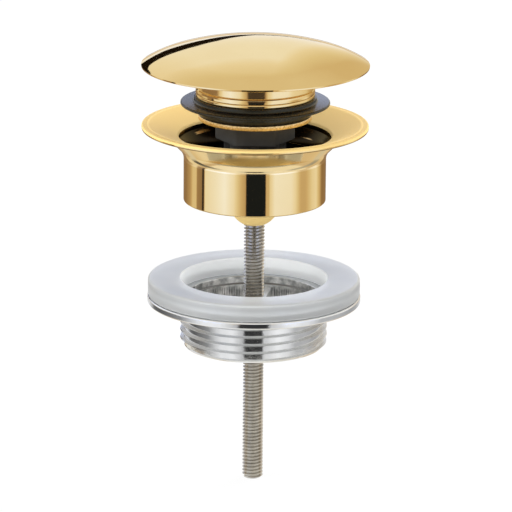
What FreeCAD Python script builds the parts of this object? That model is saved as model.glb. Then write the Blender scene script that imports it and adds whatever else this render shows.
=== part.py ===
"""Pop up basin waste: flanged cup, sprung press plug, clamping screw and threaded outlet.

Millimetres, +Z up. The origin is on the axis, where the flange sits on the basin.
"""

import os
from math import cos, pi, radians, sin, sqrt, tan

import FreeCAD
import Part

# running and seating clearances between pieces, on the radius or along the axis
SLIDE_FIT = 0.1
SEAT_FIT = 0.05
AIR_GAP = 0.3

# how far one shape reaches into another that it is joined to or cut from
REACH_IN = 1.0

# flange and cup that hang in the basin's waste hole
FLANGE_R = 32.1
FLANGE_THICK = 1.3
CUP_R = 20.15
CUP_WALL = 1.5
CUP_DEPTH = 20.8
CUP_EDGE_ROUND = 0.4
FLARE_MOUTH_R = 27.0
FLARE_ROUND = 4.0
SEAT_WALL = 1.3
RIM_FLAT_WIDTH = 2.1
RIM_SEAT_WIDTH = 2.6
RIM_ROUND = 0.5
DISH_WIDTH = 8.4
DISH_SLOPE_DEG = 20.56
DISH_MOUTH_ROUND = 1.5
DISH_EDGE_ROUND = 0.8
THROAT_DRAFT_DEG = 4.0
FLANGE_ROOT_ROUND = 1.0

# hub in the middle of the cup's bottom, on ribs
HUB_WALL = 2.1
SOCKET_DEPTH = 4.8
BOSS_R = 7.3
BOSS_DROP = 0.4
BOSS_END_RING = 0.3
CUP_RIB_COUNT = 4
CUP_RIB_WIDTH = 3.0
CUP_RIB_HEIGHT = 3.0

# clamping screw
SCREW_R = 2.95
SCREW_END_Z = -103.2
SCREW_CHAMFER = 0.4
HEAD_R = 5.0
HEAD_HEIGHT = 3.2
HEAD_ROUND = 0.8
SLOT_WIDTH = 1.6
SLOT_DEPTH = 1.8

# press stroke of the plug, and how far it springs back into its latch
STROKE = 11.0
LATCH_DROP = 0.6

# plunger with the closed cam track
PLUNGER_R = 5.2
PLUNGER_WALL = 1.2
TRACK_DEPTH = 0.9
TRACK_SIDE_PLAY = 0.3
TRACK_TURN_DEG = 40.0
LATCH_ANGLE_DEG = 88.0
RETURN_PEAK_DEG = 130.0
TRACK_START_DEG = -90.0

# cam ring and its pins
CAM_RING_WALL = 2.3
CAM_RING_HEIGHT = 4.0
PIN_R = 0.75
PIN_COUNT = 2

# cartridge core: stem in the hub socket, guide fins, head round the cam ring
STEM_WALL = 1.85
STEM_FLOOR = 1.5
STEM_CHAMFER = 0.6
HEAD_WALL = 0.9
HEAD_FLOOR = 1.5
FIN_COUNT = 4
FIN_WIDTH = 1.8
FIN_FOOT_GAP = 0.8
LID_THICK = 1.3
RING_GROOVE_RISE = 2.3
RING_GROOVE_DEPTH = 0.95
RING_GROOVE_HEIGHT = 1.2

# return spring
SPRING_SIDE_GAP = 0.45
SPRING_WIRE_R = 0.35
SPRING_TURNS = 8
WIRE_SIDES = 8

# seal nut: hexagon under the seal, hollow threaded shank above it
NUT_BOTTOM_Z = -2.9
NUT_HEX_HEIGHT = 5.8
NUT_FLOOR = 2.3
NUT_HEX_WALL = 0.8
NUT_CORNER_RISE = 1.1
NUT_SHANK_WALL = 1.2
NUT_CHAMFER = 0.4
SHANK_TOP_GAP = 0.7

# turned neck of the plug
NECK_R = 16.85
NECK_WALL = 1.6
PLATE_THICK = 2.0
NECK_HUB_WALL = 1.9
NECK_GROOVE_RISE = 1.5
NECK_GROOVE_DEPTH = 0.25
NECK_GROOVE_HEIGHT = 0.5
TURNED_EDGE = 0.2

# rings and seal stacked on the nut's shank
RETAINER_THICK = 1.4
RETAINER_INSET = 0.8
SEAL_HEIGHT = 5.2
SEAL_BEAD_INSET = 0.55
SEAL_BEAD_HEIGHT = 2.1
SEAL_BEAD_ROUND = 0.7
SEAL_GROOVE_DEPTH = 1.1
SEAL_SHOULDER = 0.45
LIP_THICK = 0.8
LIP_HEIGHT = 3.25
LIP_ROOT_RISE = 0.2
LIP_ROOT_ROUND = 0.5
WASHER_THICK = 1.1

# domed cap, its socket and the stud that clamps the plug together
CAP_R = 32.2
CAP_SKIRT = 1.2
CAP_RISE = 7.3
CAP_SHEET = 1.0
CAP_CROWN_FLATNESS = 1.085
CAP_SHOULDER_SHARE = 0.4
CAP_LIP = 0.5
CAP_EDGE = 0.3
CAP_BOSS_R = 6.0
STUD_R = 2.95
STUD_DEPTH = 6.0
STUD_END_GAP = 0.8

# gasket and threaded outlet body under the basin
GASKET_TOP_Z = -43.5
GASKET_THICK = 5.0
GASKET_R = 30.2
GASKET_CUP_GAP = 0.65
GASKET_ROUND = 0.8
OUTLET_FLANGE_R = 30.35
OUTLET_FLANGE_THICK = 2.0
OUTLET_FLANGE_EDGE = 0.4
THREAD_R = 20.955
THREAD_LENGTH = 12.8
THREAD_WALL = 2.755
THREAD_CHAMFER = 0.9
RELIEF_DEPTH = 1.2
RELIEF_HEIGHT = 1.0
BORE_STEP = 0.5
BORE_STEP_DROP = 2.1
OUTLET_RIB_COUNT = 3
OUTLET_RIB_WIDTH = 5.0
OUTLET_RIB_DROP = 3.1
OUTLET_RIB_HEIGHT = 8.0
OUTLET_RIB_START_DEG = 81.5
OUTLET_HUB_WALL = 1.95
OUTLET_HUB_DROP = 0.9
OUTLET_HUB_HEIGHT = 8.0
OUTLET_HUB_EDGE = 0.6

# radii worked out from the sizes above, from the plunger outwards
TRACK_FLOOR_R = PLUNGER_R - TRACK_DEPTH
PIN_TIP_R = TRACK_FLOOR_R + AIR_GAP
PLUNGER_HOLLOW_R = TRACK_FLOOR_R - PLUNGER_WALL
SPRING_MEAN_R = PLUNGER_HOLLOW_R - SPRING_SIDE_GAP - SPRING_WIRE_R
PLUNGER_BORE_R = PLUNGER_R + SLIDE_FIT
CAM_RING_BORE_R = PLUNGER_R + AIR_GAP
CAM_RING_R = CAM_RING_BORE_R + CAM_RING_WALL
CHAMBER_R = CAM_RING_R + SLIDE_FIT
GUIDE_HEAD_R = CHAMBER_R + HEAD_WALL
NUT_BORE_R = GUIDE_HEAD_R + AIR_GAP
NUT_FLAT_R = NUT_BORE_R + NUT_HEX_WALL
NUT_CORNER_R = NUT_FLAT_R + NUT_CORNER_RISE
NUT_SHANK_R = NUT_BORE_R + NUT_SHANK_WALL
STACK_BORE_R = NUT_SHANK_R + SEAT_FIT
STEM_R = PLUNGER_BORE_R + STEM_WALL
SOCKET_R = STEM_R + SEAT_FIT
HUB_R = SOCKET_R + HUB_WALL
STUD_BORE_R = STUD_R + SEAT_FIT
SCREW_BORE_R = SCREW_R + SLIDE_FIT
HEAD_BORE_R = HEAD_R + 2 * SLIDE_FIT
RETAINER_R = NECK_R - RETAINER_INSET
SEAL_BEAD_R = NECK_R - SEAL_BEAD_INSET
CUP_BORE_R = CUP_R - CUP_WALL
GASKET_HOLE_R = CUP_R + GASKET_CUP_GAP
OUTLET_STEP_R = THREAD_R - THREAD_WALL
OUTLET_BORE_R = OUTLET_STEP_R + BORE_STEP
OUTLET_HUB_R = SCREW_BORE_R + OUTLET_HUB_WALL

# the dome is flatter than a plain sphere at its crown and rounder at its shoulder
CAP_SPHERE_R = (CAP_R**2 + CAP_RISE**2) / (2 * CAP_RISE)
CAP_CROWN_R = CAP_SPHERE_R * CAP_CROWN_FLATNESS
CAP_SHOULDER_R = CAP_CROWN_R * CAP_SHOULDER_SHARE

# heights worked out from the sizes above, upwards from the nut
HEAD_UNDERSIDE_Z = NUT_BOTTOM_Z + NUT_FLOOR
CHAMBER_FLOOR_Z = HEAD_UNDERSIDE_Z + HEAD_FLOOR
CAM_RING_Z = CHAMBER_FLOOR_Z + SLIDE_FIT
PIN_Z = CAM_RING_Z + CAM_RING_HEIGHT / 2
LID_Z = CAM_RING_Z + CAM_RING_HEIGHT + SLIDE_FIT
CORE_TOP_Z = LID_Z + LID_THICK
PLATE_UNDERSIDE_Z = CORE_TOP_Z + STROKE + AIR_GAP
PLATE_TOP_Z = PLATE_UNDERSIDE_Z + PLATE_THICK
CAP_RIM_Z = PLATE_TOP_Z - CAP_SKIRT
CAP_INSIDE_Z = CAP_RIM_Z + CAP_RISE - CAP_SHEET
RETAINER_Z = NUT_BOTTOM_Z + NUT_HEX_HEIGHT
SEAL_Z = RETAINER_Z + RETAINER_THICK
LIP_Z = SEAL_Z + LIP_HEIGHT
WASHER_Z = SEAL_Z + SEAL_HEIGHT
NECK_BOTTOM_Z = WASHER_Z + WASHER_THICK

# heights below the nut, left clear at full stroke
HUB_TOP_Z = NUT_BOTTOM_Z - STROKE - AIR_GAP
SOCKET_FLOOR_Z = HUB_TOP_Z - SOCKET_DEPTH
STEM_END_Z = SOCKET_FLOOR_Z + SLIDE_FIT
SPRING_SEAT_Z = STEM_END_Z + STEM_FLOOR
RING_GROOVE_Z = STEM_END_Z + RING_GROOVE_RISE
PLUNGER_END_Z = SPRING_SEAT_Z + STROKE + AIR_GAP
SPRING_TOP_Z = PLATE_UNDERSIDE_Z - STUD_DEPTH - SEAT_FIT
HEAD_FLOOR_Z = SOCKET_FLOOR_Z - AIR_GAP - HEAD_HEIGHT
SCREW_HEAD_Z = HEAD_FLOOR_Z + SLIDE_FIT
BOSS_CENTRE_Z = -CUP_DEPTH - BOSS_DROP
BOSS_END_R = SCREW_BORE_R + BOSS_END_RING
BOSS_END_Z = BOSS_CENTRE_Z - sqrt(BOSS_R**2 - BOSS_END_R**2)

# heights of the outlet, below the gasket
OUTLET_TOP_Z = GASKET_TOP_Z - GASKET_THICK
THREAD_TOP_Z = OUTLET_TOP_Z - OUTLET_FLANGE_THICK
THREAD_END_Z = THREAD_TOP_Z - THREAD_LENGTH
OUTLET_STEP_Z = OUTLET_TOP_Z - BORE_STEP_DROP
OUTLET_RIB_TOP_Z = OUTLET_TOP_Z - OUTLET_RIB_DROP
OUTLET_HUB_TOP_Z = OUTLET_RIB_TOP_Z - OUTLET_HUB_DROP

AXIS = FreeCAD.Vector(0, 0, 1)
CENTRE = FreeCAD.Vector(0, 0, 0)


def at(r, z):
    """Point of a turning profile, r from the axis at height z."""
    return FreeCAD.Vector(r, 0, z)


def rounded_corner(before, corner, after, radius):
    """Start, middle and end of the arc that rounds a corner of a profile."""
    back = (before - corner).normalize()
    ahead = (after - corner).normalize()
    half_angle = back.getAngle(ahead) / 2
    reach = radius / tan(half_angle)
    middle = (back + ahead).normalize() * (radius / sin(half_angle) - radius)
    return corner + back * reach, corner + middle, corner + ahead * reach


def profile_edges(corners):
    """Edges of a closed profile given as (r, z) or (r, z, rounding radius)."""
    points = [at(c[0], c[1]) for c in corners]
    radii = [c[2] if len(c) > 2 else 0 for c in corners]
    count = len(points)
    starts, ends, edges = [], [], []
    for i, (point, radius) in enumerate(zip(points, radii)):
        if radius:
            before, after = points[i - 1], points[(i + 1) % count]
            start, middle, end = rounded_corner(before, point, after, radius)
            edges.append(Part.Arc(start, middle, end).toShape())
        else:
            start = end = point
        starts.append(start)
        ends.append(end)
    for i in range(count):
        if ends[i - 1].distanceToPoint(starts[i]) > 1e-6:
            edges.append(Part.LineSegment(ends[i - 1], starts[i]).toShape())
    return edges


def turn(edges):
    """Solid turned about the axis from the edges of one closed profile."""
    face = Part.Face(Part.Wire(Part.__sortEdges__(edges)))
    return face.revolve(CENTRE, AXIS, 360)


def turned(*corners):
    """Solid of revolution from the corners of its profile."""
    return turn(profile_edges(corners))


def bar(r_inner, r_outer, width, z_low, z_high, angle_deg):
    """Straight rib that runs outwards from the axis at the given angle."""
    corner = FreeCAD.Vector(r_inner, -width / 2, z_low)
    rib = Part.makeBox(r_outer - r_inner, width, z_high - z_low, corner)
    return rib.rotate(CENTRE, AXIS, angle_deg)


def spread(count, start_deg=0.0):
    """Evenly spaced angles round the axis."""
    return [start_deg + 360.0 * i / count for i in range(count)]


def seat_radius(z):
    """Radius of the 45 degree conical seat inside the flare at height z."""
    return FLARE_MOUTH_R - SEAT_WALL * sqrt(2) + z


def cup_shell():
    """Flange with its shallow dish, steep throat, conical seat and wall in one turning."""
    slope = tan(radians(DISH_SLOPE_DEG))
    mouth_r = FLANGE_R - RIM_FLAT_WIDTH
    dish_r = mouth_r - DISH_WIDTH
    dish_z = FLANGE_THICK - DISH_WIDTH * slope
    rest_r = FLANGE_R - RIM_SEAT_WIDTH
    flare_top = (rest_r - FLARE_MOUTH_R) * slope / (1 - slope)
    draft = tan(radians(THROAT_DRAFT_DEG))
    throat_depth = (seat_radius(dish_z) - dish_r) / (1 - draft)
    return turned(
        (CUP_R, -CUP_DEPTH, CUP_EDGE_ROUND),
        (CUP_R, CUP_R - FLARE_MOUTH_R, FLARE_ROUND),
        (FLARE_MOUTH_R - flare_top, -flare_top, FLANGE_ROOT_ROUND),
        (rest_r, 0),
        (FLANGE_R, 0, RIM_ROUND),
        (FLANGE_R, FLANGE_THICK, RIM_ROUND),
        (mouth_r, FLANGE_THICK, DISH_MOUTH_ROUND),
        (dish_r, dish_z, DISH_EDGE_ROUND),
        (dish_r - draft * throat_depth, dish_z - throat_depth),
        (CUP_BORE_R, CUP_BORE_R - seat_radius(0), FLARE_ROUND + SEAT_WALL),
        (CUP_BORE_R, -CUP_DEPTH),
    )


def cup_hub():
    """Socket for the core, counterbore for the screw head and round boss below."""
    boss_top = at(sqrt(BOSS_R**2 - BOSS_DROP**2), -CUP_DEPTH)
    boss_mid = at(BOSS_R * cos(pi / 4), BOSS_CENTRE_Z - BOSS_R * sin(pi / 4))
    boss_end = at(BOSS_END_R, BOSS_END_Z)
    corners = [
        boss_end,
        at(SCREW_BORE_R, BOSS_END_Z),
        at(SCREW_BORE_R, HEAD_FLOOR_Z),
        at(HEAD_BORE_R, HEAD_FLOOR_Z),
        at(HEAD_BORE_R, SOCKET_FLOOR_Z),
        at(SOCKET_R, SOCKET_FLOOR_Z),
        at(SOCKET_R, HUB_TOP_Z),
        at(HUB_R, HUB_TOP_Z),
        at(HUB_R, -CUP_DEPTH),
        boss_top,
    ]
    edges = [Part.LineSegment(a, b).toShape() for a, b in zip(corners, corners[1:])]
    edges.append(Part.Arc(boss_top, boss_mid, boss_end).toShape())
    return turn(edges)


def flange_cup():
    """Cast and turned cup with its hub on ribs, so that water passes between them."""
    rib_inner = (HUB_R + SOCKET_R) / 2
    rib_outer = CUP_R - CUP_WALL / 2
    rib_top = CUP_RIB_HEIGHT - CUP_DEPTH
    ribs = [
        bar(rib_inner, rib_outer, CUP_RIB_WIDTH, -CUP_DEPTH, rib_top, angle)
        for angle in spread(CUP_RIB_COUNT)
    ]
    return cup_shell().fuse([cup_hub(), *ribs]).removeSplitter()


def centre_screw():
    """Long machine screw with a slotted head, which clamps cup and outlet together."""
    head_top = SCREW_HEAD_Z + HEAD_HEIGHT
    screw = turned(
        (0, SCREW_END_Z),
        (SCREW_R - SCREW_CHAMFER, SCREW_END_Z),
        (SCREW_R, SCREW_END_Z + SCREW_CHAMFER),
        (SCREW_R, SCREW_HEAD_Z),
        (HEAD_R, SCREW_HEAD_Z),
        (HEAD_R, head_top, HEAD_ROUND),
        (0, head_top),
    )
    return screw.cut(bar(-HEAD_R, HEAD_R, SLOT_WIDTH, head_top - SLOT_DEPTH, head_top, 0))


def cartridge_core():
    """Moulded core: plugs into the hub, guides the plunger and holds the cam ring."""
    groove_r = STEM_R - RING_GROOVE_DEPTH
    groove_top = RING_GROOVE_Z + RING_GROOVE_HEIGHT / 2
    groove_bottom = RING_GROOVE_Z - RING_GROOVE_HEIGHT / 2
    core = turned(
        (0, STEM_END_Z),
        (STEM_R - STEM_CHAMFER, STEM_END_Z),
        (STEM_R, STEM_END_Z + STEM_CHAMFER),
        (STEM_R, groove_bottom),
        (groove_r, groove_bottom),
        (groove_r, groove_top),
        (STEM_R, groove_top),
        (STEM_R, HEAD_UNDERSIDE_Z),
        (GUIDE_HEAD_R, HEAD_UNDERSIDE_Z),
        (GUIDE_HEAD_R, CORE_TOP_Z),
        (CHAMBER_R, CORE_TOP_Z),
        (CHAMBER_R, CHAMBER_FLOOR_Z),
        (PLUNGER_BORE_R, CHAMBER_FLOOR_Z),
        (PLUNGER_BORE_R, SPRING_SEAT_Z),
        (0, SPRING_SEAT_Z),
    )
    root_r = (STEM_R + PLUNGER_BORE_R) / 2
    fin_end = HUB_TOP_Z + FIN_FOOT_GAP
    fins = [
        bar(root_r, GUIDE_HEAD_R, FIN_WIDTH, fin_end, HEAD_UNDERSIDE_Z, angle)
        for angle in spread(FIN_COUNT)
    ]
    return core.fuse(fins).removeSplitter()


def core_lid():
    """Snap-in ring that keeps the cam ring in the head."""
    outer = CHAMBER_R - SEAT_FIT
    return turned(
        (PLUNGER_BORE_R, LID_Z),
        (outer, LID_Z),
        (outer, CORE_TOP_Z),
        (PLUNGER_BORE_R, CORE_TOP_Z),
    )


def core_o_ring():
    """Rubber ring that grips the hub socket, so that the insert pulls out by hand."""
    inner = STEM_R - RING_GROOVE_DEPTH
    outer = SOCKET_R - SEAT_FIT / 2
    return Part.makeTorus((inner + outer) / 2, (outer - inner) / 2, at(0, RING_GROOVE_Z))


def pin_rods(r_inner, r_outer):
    """Radial rods at the places of the cam pins."""
    rods = []
    for angle in spread(PIN_COUNT, TRACK_START_DEG):
        rod = Part.makeCylinder(PIN_R, r_outer - r_inner, at(r_inner, PIN_Z), at(1, 0))
        rods.append(rod.rotate(CENTRE, AXIS, angle))
    return rods


def cam_ring():
    """Ring that the plunger turns a step further at each press."""
    ring = turned(
        (CAM_RING_BORE_R, CAM_RING_Z),
        (CAM_RING_R, CAM_RING_Z),
        (CAM_RING_R, CAM_RING_Z + CAM_RING_HEIGHT),
        (CAM_RING_BORE_R, CAM_RING_Z + CAM_RING_HEIGHT),
    )
    return ring.cut(pin_rods(0, CAM_RING_R + REACH_IN))


def cam_pins():
    """Steel pins pressed into the cam ring, which run in the plunger's track."""
    return Part.makeCompound(pin_rods(PIN_TIP_R, CAM_RING_R - SLIDE_FIT))


def track_leg(start, end):
    """Straight leg of the cam track between two (angle, height above the pins) places."""
    half_width = PIN_R + TRACK_SIDE_PLAY
    middle_deg = (start[0] + end[0]) / 2
    pin_r = (PIN_TIP_R + PLUNGER_R) / 2
    a, b = [
        FreeCAD.Vector(PLUNGER_HOLLOW_R, pin_r * sin(radians(deg - middle_deg)), PIN_Z + rise)
        for deg, rise in (start, end)
    ]
    along = (b - a).normalize() * half_width
    side = FreeCAD.Vector(0, -along.z, along.y)
    edges = [
        Part.LineSegment(a - side, b - side).toShape(),
        Part.Arc(b - side, b + along, b + side).toShape(),
        Part.LineSegment(b + side, a + side).toShape(),
        Part.Arc(a + side, a - along, a - side).toShape(),
    ]
    slot = Part.Face(Part.Wire(edges)).extrude(at(PLUNGER_R, 0))
    return slot.rotate(CENTRE, AXIS, middle_deg)


def plunger():
    """Hollow plunger with a closed M-shaped track, repeated for each pin.

    From the open rest the pin climbs the press leg, drops into the latch pocket when the
    plug is let go, climbs out at the next press and falls down the return leg. The track is
    milled as deep as the outer skin is thick, which leaves it a round floor.
    """
    track = [
        (0, 0),
        (TRACK_TURN_DEG, STROKE),
        (LATCH_ANGLE_DEG, STROKE - LATCH_DROP),
        (RETURN_PEAK_DEG, STROKE),
        (360 / PIN_COUNT, 0),
    ]
    legs = []
    for turn_deg in spread(PIN_COUNT, TRACK_START_DEG):
        places = [(deg + turn_deg, rise) for deg, rise in track]
        legs += [track_leg(a, b) for a, b in zip(places, places[1:])]
    skin = turned(
        (TRACK_FLOOR_R, PLUNGER_END_Z),
        (PLUNGER_R, PLUNGER_END_Z),
        (PLUNGER_R, PLATE_UNDERSIDE_Z),
        (TRACK_FLOOR_R, PLATE_UNDERSIDE_Z),
    )
    tube = turned(
        (PLUNGER_HOLLOW_R, PLUNGER_END_Z),
        (TRACK_FLOOR_R, PLUNGER_END_Z),
        (TRACK_FLOOR_R, PLATE_UNDERSIDE_Z),
        (STUD_BORE_R, PLATE_UNDERSIDE_Z),
        (STUD_BORE_R, SPRING_TOP_Z),
        (PLUNGER_HOLLOW_R, SPRING_TOP_Z),
    )
    return tube.fuse(skin.cut(legs)).removeSplitter()


def return_spring():
    """Compression spring between the core's floor and the stud in the plunger."""
    height = SPRING_TOP_Z - SPRING_SEAT_Z - 2 * (SPRING_WIRE_R + SEAT_FIT)
    start_z = SPRING_SEAT_Z + SPRING_WIRE_R + SEAT_FIT
    helix = Part.makeHelix(height / SPRING_TURNS, height, SPRING_MEAN_R)
    helix.translate(at(0, start_z))
    corners = []
    for step in range(WIRE_SIDES + 1):
        angle = 2 * pi * step / WIRE_SIDES
        corners.append(
            at(SPRING_MEAN_R + SPRING_WIRE_R * cos(angle), start_z + SPRING_WIRE_R * sin(angle))
        )
    section = Part.makePolygon(corners)
    return Part.Wire(helix.Edges).makePipeShell([section], True, True)


def seal_nut():
    """Hexagonal plastic nut on a hollow shank, which clamps the seal to the neck."""
    foot = turned(
        (STEM_R + AIR_GAP, NUT_BOTTOM_Z),
        (NUT_CORNER_R - NUT_CHAMFER, NUT_BOTTOM_Z),
        (NUT_CORNER_R, NUT_BOTTOM_Z + NUT_CHAMFER),
        (NUT_CORNER_R, RETAINER_Z),
        (NUT_BORE_R, RETAINER_Z),
        (NUT_BORE_R, HEAD_UNDERSIDE_Z),
        (STEM_R + AIR_GAP, HEAD_UNDERSIDE_Z),
    )
    corner_r = NUT_FLAT_R / cos(pi / 6)
    hexagon = Part.makePolygon([
        FreeCAD.Vector(corner_r * cos(a), corner_r * sin(a), NUT_BOTTOM_Z)
        for a in [radians(deg) for deg in spread(6)] + [0]
    ])
    foot_height = RETAINER_Z - NUT_BOTTOM_Z
    foot = foot.common(Part.Face(hexagon).extrude(at(0, foot_height)))
    shank_top = PLATE_UNDERSIDE_Z - SHANK_TOP_GAP
    root_z = RETAINER_Z - REACH_IN
    shank = turned(
        (NUT_BORE_R, root_z),
        (NUT_SHANK_R - REACH_IN + NUT_CHAMFER, root_z),
        (NUT_SHANK_R, RETAINER_Z),
        (NUT_SHANK_R, shank_top - NUT_CHAMFER),
        (NUT_SHANK_R - NUT_CHAMFER, shank_top),
        (NUT_BORE_R, shank_top),
    )
    notch_width = FIN_WIDTH + 2 * AIR_GAP
    notches = [
        bar(0, NUT_BORE_R, notch_width, NUT_BOTTOM_Z - REACH_IN, HEAD_UNDERSIDE_Z, angle)
        for angle in spread(FIN_COUNT)
    ]
    return foot.fuse(shank).cut(notches).removeSplitter()


def stacked_ring(outer_r, z_low, z_high):
    """Turned ring on the nut's shank, with its outer edges broken."""
    return turned(
        (STACK_BORE_R, z_low),
        (outer_r - TURNED_EDGE, z_low),
        (outer_r, z_low + TURNED_EDGE),
        (outer_r, z_high - TURNED_EDGE),
        (outer_r - TURNED_EDGE, z_high),
        (STACK_BORE_R, z_high),
    )


def seal_retainer():
    """Ring that carries the seal on the nut's shoulder."""
    return stacked_ring(RETAINER_R, RETAINER_Z, SEAL_Z)


def lip_seal():
    """Moulded rubber seal: lower bead, groove and the thin lip that closes the seat.

    At full stroke the lip's rounded tip stops an air gap short of the conical seat.
    """
    tip_round = 0.45 * LIP_THICK
    reach = LIP_THICK / 2 - sqrt(2) * (LIP_THICK / 2 + AIR_GAP)
    lip_r = seat_radius(LIP_Z - STROKE) + reach
    lip_low, lip_high = LIP_Z - LIP_THICK / 2, LIP_Z + LIP_THICK / 2
    shoulder_r = NECK_R + SEAL_SHOULDER
    bead_top = SEAL_Z + SEAL_BEAD_HEIGHT
    groove_r = SEAL_BEAD_R - SEAL_GROOVE_DEPTH
    return turned(
        (STACK_BORE_R, SEAL_Z),
        (SEAL_BEAD_R, SEAL_Z, SEAL_BEAD_ROUND),
        (SEAL_BEAD_R, bead_top, SEAL_BEAD_ROUND),
        (groove_r, (bead_top + lip_low) / 2),
        (SEAL_BEAD_R, lip_low),
        (lip_r, lip_low, tip_round),
        (lip_r, lip_high, tip_round),
        (shoulder_r, lip_high + LIP_ROOT_RISE, LIP_ROOT_ROUND),
        (shoulder_r, WASHER_Z - TURNED_EDGE),
        (NECK_R, WASHER_Z),
        (STACK_BORE_R, WASHER_Z),
    )


def seal_washer():
    """Turned ring between the seal and the neck."""
    return stacked_ring(NECK_R, WASHER_Z, NECK_BOTTOM_Z)


def dome_centres():
    """Centres of the crown's arc and of the shoulder's arc, which meet without a crease."""
    crown = at(0, CAP_RIM_Z + CAP_RISE - CAP_CROWN_R)
    to_rim = at(CAP_R, CAP_RIM_Z) - crown
    ahead = FreeCAD.Vector(to_rim).normalize()
    between = CAP_CROWN_R - CAP_SHOULDER_R
    along = (between**2 - CAP_SHOULDER_R**2 + to_rim.Length**2) / (2 * to_rim.Length)
    aside = sqrt(between**2 - along**2)
    return crown, crown + ahead * along + at(-ahead.z, ahead.x) * aside


def dome_join(depth):
    """Point where crown and shoulder meet, at a depth under the outer skin."""
    crown, shoulder = dome_centres()
    return shoulder + (shoulder - crown).normalize() * (CAP_SHOULDER_R - depth)


def dome_height(r, depth):
    """Height of the dome's section at radius r, at a depth under the outer skin."""
    crown, shoulder = dome_centres()
    if r <= dome_join(depth).x:
        return crown.z + sqrt((CAP_CROWN_R - depth) ** 2 - r**2)
    return shoulder.z + sqrt((CAP_SHOULDER_R - depth) ** 2 - (r - shoulder.x) ** 2)


def dome_radius(z, depth):
    """Radius of the dome's shoulder at height z, at a depth under the outer skin."""
    shoulder = dome_centres()[1]
    return shoulder.x + sqrt((CAP_SHOULDER_R - depth) ** 2 - (z - shoulder.z) ** 2)


def dome_edges(depth, low_z):
    """Crown and shoulder arcs of the dome's section, from the axis down to low_z."""
    join = dome_join(depth)
    low_r = dome_radius(low_z, depth)
    crown_mid, shoulder_mid = join.x / 2, (join.x + low_r) / 2
    return [
        Part.Arc(
            at(0, dome_height(0, depth)),
            at(crown_mid, dome_height(crown_mid, depth)),
            join,
        ).toShape(),
        Part.Arc(
            join,
            at(shoulder_mid, dome_height(shoulder_mid, depth)),
            at(low_r, low_z),
        ).toShape(),
    ]


def line(start, end):
    """Straight edge of a profile."""
    return Part.LineSegment(start, end).toShape()


def dome_cap():
    """Spun sheet dome with its rim trimmed flat and broken outside."""
    trim_z = CAP_RIM_Z - CAP_LIP
    rim, trimmed = at(CAP_R, CAP_RIM_Z), at(CAP_R - CAP_EDGE, trim_z)
    return turn(
        dome_edges(0, CAP_RIM_Z)
        + dome_edges(CAP_SHEET, trim_z)
        + [
            line(rim, trimmed),
            line(trimmed, at(dome_radius(trim_z, CAP_SHEET), trim_z)),
            line(at(0, CAP_INSIDE_Z), at(0, CAP_RIM_Z + CAP_RISE)),
        ]
    )


def plug_neck():
    """Turned neck: ring groove outside, hollow ring and threaded hub inside.

    Its rim carries the dome, and its plate carries the plunger.
    """
    top = dome_height(NECK_R, CAP_SHEET) - SEAT_FIT
    groove_z = NECK_BOTTOM_Z + NECK_GROOVE_RISE
    inner = NECK_R - NECK_WALL
    hub = STACK_BORE_R + NECK_HUB_WALL
    hollow_top = PLATE_UNDERSIDE_Z - PLATE_THICK / 2
    return turned(
        (STACK_BORE_R, NECK_BOTTOM_Z),
        (hub, NECK_BOTTOM_Z),
        (hub, hollow_top),
        (inner, hollow_top),
        (inner, NECK_BOTTOM_Z),
        (NECK_R - TURNED_EDGE, NECK_BOTTOM_Z),
        (NECK_R, NECK_BOTTOM_Z + TURNED_EDGE),
        (NECK_R, groove_z - NECK_GROOVE_HEIGHT / 2),
        (NECK_R - NECK_GROOVE_DEPTH, groove_z),
        (NECK_R, groove_z + NECK_GROOVE_HEIGHT / 2),
        (NECK_R, top),
        (inner, top),
        (inner, PLATE_TOP_Z),
        (STUD_BORE_R, PLATE_TOP_Z),
        (STUD_BORE_R, PLATE_UNDERSIDE_Z),
        (STACK_BORE_R, PLATE_UNDERSIDE_Z),
    )


def cap_boss():
    """Threaded socket soldered under the middle of the dome."""
    corner = at(dome_radius(CAP_RIM_Z, CAP_SHEET), CAP_RIM_Z)
    under_dome = turn(
        dome_edges(CAP_SHEET, CAP_RIM_Z)
        + [line(corner, at(0, CAP_RIM_Z)), line(at(0, CAP_RIM_Z), at(0, CAP_INSIDE_Z))]
    )
    post = Part.makeCylinder(CAP_BOSS_R, CAP_RISE, at(0, PLATE_TOP_Z))
    socket_depth = CAP_INSIDE_Z - STUD_END_GAP - PLATE_TOP_Z
    socket = Part.makeCylinder(STUD_BORE_R, socket_depth, at(0, PLATE_TOP_Z))
    return post.common(under_dome).cut(socket)


def cap_stud():
    """Stud that pulls plunger, neck and cap together."""
    low = PLATE_UNDERSIDE_Z - STUD_DEPTH
    high = CAP_INSIDE_Z - STUD_END_GAP - SEAT_FIT
    return turned(
        (0, low),
        (STUD_R - SCREW_CHAMFER, low),
        (STUD_R, low + SCREW_CHAMFER),
        (STUD_R, high - SCREW_CHAMFER),
        (STUD_R - SCREW_CHAMFER, high),
        (0, high),
    )


def ring_gasket():
    """Thick translucent ring that seals the outlet against the basin."""
    return turned(
        (GASKET_HOLE_R, OUTLET_TOP_Z),
        (GASKET_R, OUTLET_TOP_Z, GASKET_ROUND),
        (GASKET_R, GASKET_TOP_Z, GASKET_ROUND),
        (GASKET_HOLE_R, GASKET_TOP_Z, GASKET_ROUND / 2),
    )


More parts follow.
